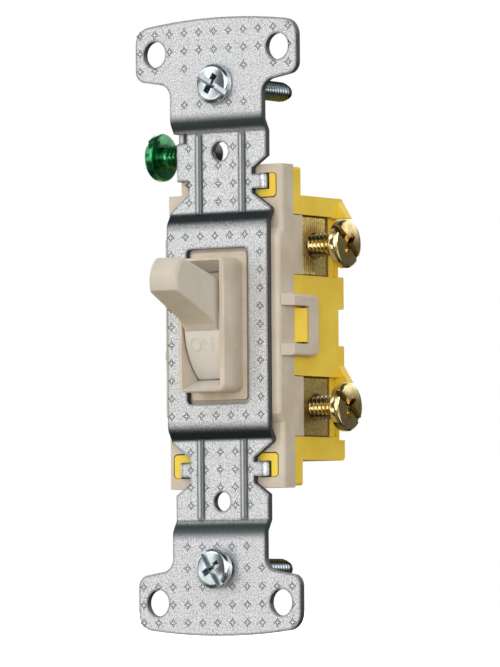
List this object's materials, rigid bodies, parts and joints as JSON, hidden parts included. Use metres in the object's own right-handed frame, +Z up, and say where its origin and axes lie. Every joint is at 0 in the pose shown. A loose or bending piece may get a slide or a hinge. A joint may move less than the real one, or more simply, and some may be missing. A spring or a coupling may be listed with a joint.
{
  "type": "toggle wall switch",
  "caption": "Single-pole toggle wall switch on a steel mounting yoke, with side screw terminals and a ground screw, shown switched on.",
  "frame": {"origin": "midway between the two box screws, on the plane of the ears' back faces, which seats against the wall", "axes": "+X is right as the user sees it, +Y points back into the wall box, +Z is up along the yoke"},
  "size_m": [0.0352, 0.0387, 0.1064],
  "materials": {
    "zinc_steel": "galvanised strip with small stamped stars, dark sheared edges",
    "screw_zinc": "bright zinc plate",
    "almond_cover": "light almond moulded thermoset",
    "almond_toggle": "light almond, satin",
    "yellow_base": "yellow moulded thermoset",
    "brass": "polished brass plate",
    "brass_plate": "stamped brass, serrated",
    "green_steel": "glossy green dyed plate",
    "spring_steel": "bare spring steel",
    "contact_copper": "copper alloy strip",
    "contact_silver": "silver alloy button",
    "grey_fibre": "pressed fibre washer",
    "white_nylon": "moulded nylon"
  },
  "bodies": {
    "housing": {"mounting_yoke": "zinc_steel", "cover": "almond_cover", "base": "yellow_base", "fixed_contact": "contact_silver", "line_terminal": "brass_plate", "load_terminal": "brass_plate", "line_wire_clip": "spring_steel", "load_wire_clip": "spring_steel"},
    "toggle": {"toggle_lever": "almond_toggle", "toggle_spring": "spring_steel", "spring_plunger": "white_nylon"},
    "contact_rocker": {"contact_arm": "contact_copper", "moving_contact": "contact_silver"},
    "line_screw": {"line_terminal_screw": "brass"},
    "load_screw": {"load_terminal_screw": "brass"},
    "ground_screw": {"ground_screw": "green_steel"},
    "upper_retainer": {"upper_screw_retainer": "grey_fibre"},
    "upper_box_screw": {"upper_mounting_screw": "screw_zinc"},
    "lower_retainer": {"lower_screw_retainer": "grey_fibre"},
    "lower_box_screw": {"lower_mounting_screw": "screw_zinc"}
  },
  "joints": [
    {"name": "toggle_throw", "type": "hinge", "parent": "housing", "child": "toggle", "pos_m": [0, 0.0062, 0], "axis": [1, 0, 0], "range_deg": [0, 39]},
    {"name": "contact_rock", "type": "hinge", "parent": "housing", "child": "contact_rocker", "pos_m": [0, 0.014, 0], "axis": [1, 0, 0], "range_deg": [-10, 0]},
    {"name": "line_screw_travel", "type": "slide", "parent": "housing", "child": "line_screw", "axis": [-1, 0, 0], "range_m": [0, 0.0053]},
    {"name": "load_screw_travel", "type": "slide", "parent": "housing", "child": "load_screw", "axis": [-1, 0, 0], "range_m": [0, 0.0053]},
    {"name": "ground_screw_travel", "type": "slide", "parent": "housing", "child": "ground_screw", "axis": [1, 0, 0], "range_m": [0, 0.0035]},
    {"name": "upper_screw_float", "type": "slide", "parent": "housing", "child": "upper_retainer", "axis": [0, -1, 0], "range_m": [0, 0.0028]},
    {"name": "upper_screw_turn", "type": "hinge", "parent": "upper_retainer", "child": "upper_box_screw", "pos_m": [0, 0, 0.04167], "axis": [0, 1, 0], "continuous": true},
    {"name": "lower_screw_float", "type": "slide", "parent": "housing", "child": "lower_retainer", "axis": [0, -1, 0], "range_m": [-0.0009, 0.0019]},
    {"name": "lower_screw_turn", "type": "hinge", "parent": "lower_retainer", "child": "lower_box_screw", "pos_m": [0, 0, -0.04167], "axis": [0, 1, 0], "continuous": true}
  ],
  "couplings": [
    {"joint": "contact_rock", "follows": "toggle_throw", "ratio": -0.25641}
  ]
}
